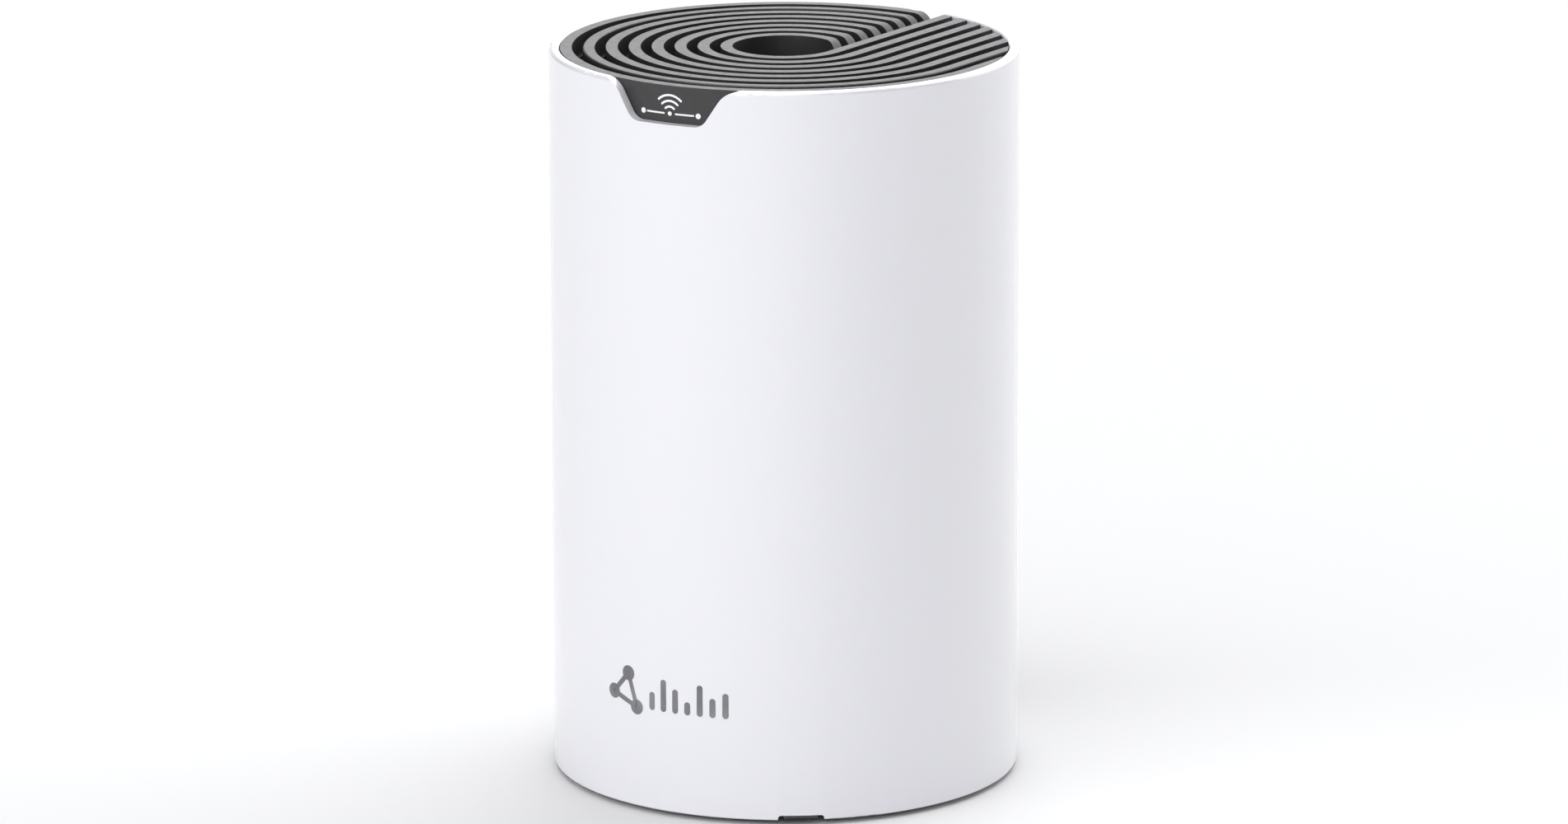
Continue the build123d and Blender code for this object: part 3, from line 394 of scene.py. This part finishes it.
def gather(parts):
    # joins (bmesh, place, angle) parts into one flat bmesh
    whole = bmesh.new()
    for part, place, degrees in parts:
        bmesh.ops.rotate(part, verts=part.verts, matrix=Matrix.Rotation(math.radians(degrees), 3, "Z"))
        bmesh.ops.translate(part, verts=part.verts, vec=(place[0], place[1], 0))
        sheet = bpy.data.meshes.new("sheet")
        part.to_mesh(sheet)
        part.free()
        whole.from_mesh(sheet)
        bpy.data.meshes.remove(sheet)
    return whole


film = {"thickness": 0.06, "sunk": 0.03}


def onWall(radius, centreAngle, centreHeight):
    # lays a flat mark round an upright wall, facing out
    def place(x, y, lift):
        turn = math.radians(centreAngle) + x / radius
        reach = radius + lift
        return Vector((reach * math.sin(turn), -reach * math.cos(turn), centreHeight + y))
    return place


def onBack(faceY, centreHeight):
    # lays a flat mark on the rear panel, read from behind
    return lambda x, y, lift: Vector((-x, faceY + lift, centreHeight + y))


def underneath(faceZ):
    # lays a flat mark on a face that looks down
    return lambda x, y, lift: Vector((x, -y, faceZ - lift))


def printMark(name, parts, place, material):
    # gives the flat mark its thickness and lays it on its surface
    bm = gather(parts)
    sliceAcross(bm, 0.8)
    for face in bm.faces:
        if face.normal.z < 0:
            face.normal_flip()
    top = bmesh.ops.extrude_face_region(bm, geom=bm.faces[:])
    raised = [v for v in top["geom"] if isinstance(v, bmesh.types.BMVert)]
    bmesh.ops.translate(bm, verts=raised, vec=(0, 0, film["thickness"]))
    for v in bm.verts:
        v.co = place(v.co.x, v.co.y, v.co.z - film["sunk"]) * mm
    bmesh.ops.recalc_face_normals(bm, faces=bm.faces)
    mesh = bpy.data.meshes.new(name)
    bm.to_mesh(mesh)
    bm.free()
    mesh.materials.append(material)
    piece = bpy.data.objects.new(name, mesh)
    bpy.context.scene.collection.objects.link(piece)
    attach(piece, housing)


flagMark = {
    "angle": 3.0,        # centre, degrees right of the front
    "height": 139.35,    # middle of the mark, above the floor
    "stroke": 0.42,
    "arches": (1.35, 2.45, 3.55),
    "spread": 43,
    "dotRadius": 0.42,
    "foot": -1.75,       # centre of the arches, below the middle of the mark
    "railReach": 6.0,    # middle of the mark to the dot at the rail's end
    "railGap": 1.3,      # middle of the mark to the near end of the rail
    "railEndGap": 1.0,   # far end of the rail to the middle of its end dot
    "railStroke": 0.34,
    "endDotRadius": 0.52,
}


def makeInk(name, colour):
    ink = plainMaterial(name, colour, 0.5)
    varyColour(ink, [c * 0.98 for c in colour], [c * 1.02 for c in colour], 800.0)
    return ink


whiteInk = makeInk("whiteInk", (0.86, 0.86, 0.87))
greyInk = makeInk("greyInk", (0.16, 0.16, 0.17))


def makeFlagMark():
    # white signal fan with a dotted rail on each side
    low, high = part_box("top_cap")
    radius = (high.x - low.x) / 2 / mm
    foot, reach = flagMark["foot"], flagMark["railReach"]
    gap, endGap = flagMark["railGap"], flagMark["railEndGap"]
    parts = [(dot(flagMark["dotRadius"]), (0, foot), 0)]
    for bow in flagMark["arches"]:
        parts.append((archedBar(bow, flagMark["stroke"], flagMark["spread"]), (0, foot), 0))
    for start in (gap, endGap - reach):
        parts.append((stadium(reach - gap - endGap, flagMark["railStroke"]), (start, foot), 0))
    for side in (-1, 1):
        parts.append((dot(flagMark["endDotRadius"]), (side * reach, foot), 0))
    place = onWall(radius, flagMark["angle"], flagMark["height"])
    printMark("flag_mark", parts, place, whiteInk)


frontMark = {
    "angle": 1.75,
    "height": 24.0,
    "nodeRadius": 1.5,
    "nodeSpots": ((-8.3, 3.2), (-12.1, -1.0), (-6.2, -3.2)),
    "linkWidth": 1.0,
    "barWidth": 1.25,
    "barPitch": 2.6,
    "barHeights": (3.6, 6.4, 4.8, 2.6, 6.2, 3.8, 5.0),
    "barStart": -2.5,
    "barFoot": -3.2,
}


def makeFrontMark():
    # grey foil with painted reflection mottled over it: three linked nodes, then a row of upright bars
    foilPaintedReflection = plainMaterial("greyFoilPaintedReflection", (0.22, 0.22, 0.23), 0.36, 0.7)
    # painted reflection: the wide dark-to-light colour mottle stands in for the shading of the foil's metal;
    # the middle grey is the foil's own colour
    varyColour(foilPaintedReflection, (0.17, 0.17, 0.18), (0.32, 0.32, 0.33), 90.0)
    varyRoughness(foilPaintedReflection, 0.32, 0.42, 400.0)
    low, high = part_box("outer_sleeve")
    radius = (high.x - low.x) / 2 / mm
    spots = frontMark["nodeSpots"]
    parts = [(dot(frontMark["nodeRadius"]), spot, 0) for spot in spots]
    for start, end in zip(spots, spots[1:] + spots[:1]):
        run = Vector(end) - Vector(start)
        slant = math.degrees(math.atan2(run.y, run.x))
        parts.append((stadium(run.length, frontMark["linkWidth"]), start, slant))
    width = frontMark["barWidth"]
    for bar, height in enumerate(frontMark["barHeights"]):
        spot = (frontMark["barStart"] + bar * frontMark["barPitch"], frontMark["barFoot"] + width / 2)
        parts.append((stadium(height - width, width), spot, 90))
    place = onWall(radius, frontMark["angle"], frontMark["height"])
    printMark("front_mark", parts, place, foilPaintedReflection)


backMarks = {
    "dotRadius": 0.55,
    "dotPitch": 1.9,
    "dotSide": -8.0,     # left of the sockets, seen from behind
    "powerSide": 6.6,
    "powerRadius": 1.3,
    "powerStroke": 0.38,
    "powerArc": 145,     # half of the ring's opening angle
}


def makeBackMarks():
    # one, two or three dots tell the sockets apart, and a ring with a bar marks the power inlet
    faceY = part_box("port_panel")[1].y / mm
    sockets = sorted(name for name in nodes if name.startswith("lan_") and name.endswith("_housing"))
    for count, socket in enumerate(sockets, start=1):
        low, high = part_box(socket)
        middle = (low.z + high.z) / 2 / mm
        first = -(count - 1) / 2 * backMarks["dotPitch"]
        spots = [(backMarks["dotSide"], first + k * backMarks["dotPitch"]) for k in range(count)]
        parts = [(dot(backMarks["dotRadius"]), spot, 0) for spot in spots]
        printMark(f"socket_dots_{count}", parts, onBack(faceY, middle), whiteInk)
    low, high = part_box("power_pin")
    side, reach, stroke = backMarks["powerSide"], backMarks["powerRadius"], backMarks["powerStroke"]
    parts = [
        (archedBar(reach, stroke, backMarks["powerArc"]), (side, 0), 180),
        (stadium(reach, stroke), (side, reach * 0.45), 90),
    ]
    printMark("power_mark", parts, onBack(faceY, (low.z + high.z) / 2 / mm), whiteInk)


labelPrint = {
    "border": 15.6,
    "borderStroke": 0.35,
    "ruleStroke": 0.5,
    "rules": ((9.0, 8.5), (11.5, 6.5), (11.5, -6.5), (9.0, -8.5)),  # half length and place of each rule
    "codeSize": 7.0,
    "codeCells": 7,
}


def makeLabelPrint():
    # border, a few rules and a chequered square that stand for the printed rating plate
    low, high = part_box("rating_label")
    stroke = labelPrint["ruleStroke"]
    border, borderStroke = labelPrint["border"], labelPrint["borderStroke"]
    parts = [(archedBar(border, borderStroke, 89.5), (0, 0), turn) for turn in (0, 180)]
    for half, at in labelPrint["rules"]:
        parts.append((stadium(2 * half, stroke), (-half, at), 0))
    cells = labelPrint["codeCells"]
    cell = labelPrint["codeSize"] / cells
    for row in range(cells):
        for column in range(row % 2, cells, 2):
            square = bmesh.new()
            bmesh.ops.create_grid(square, x_segments=1, y_segments=1, size=cell / 2 * 0.94)
            spot = ((column - (cells - 1) / 2) * cell, (row - (cells - 1) / 2) * cell)
            parts.append((square, spot, 0))
    printMark("label_print", parts, underneath(low.z / mm), greyInk)


makeFlagMark()
makeFrontMark()
makeBackMarks()
makeLabelPrint()
print("printed marks laid")


def makeFloor():
    half = studio["floorSize"] / 2
    bm = bmesh.new()
    bmesh.ops.create_grid(bm, x_segments=2, y_segments=2, size=half)
    bmesh.ops.translate(bm, verts=bm.verts, vec=(0, 0, -studio["floorDrop"]))
    mesh = bpy.data.meshes.new("floor")
    bm.to_mesh(mesh)
    bm.free()
    floor = bpy.data.objects.new("floor", mesh)
    bpy.context.scene.collection.objects.link(floor)
    material = plainMaterial("floorPaint", (0.76, 0.76, 0.765), 0.85)
    varyColour(material, (0.757, 0.757, 0.762), (0.763, 0.763, 0.768), 3.0)
    mesh.materials.append(material)


makeFloor()
print("floor laid")
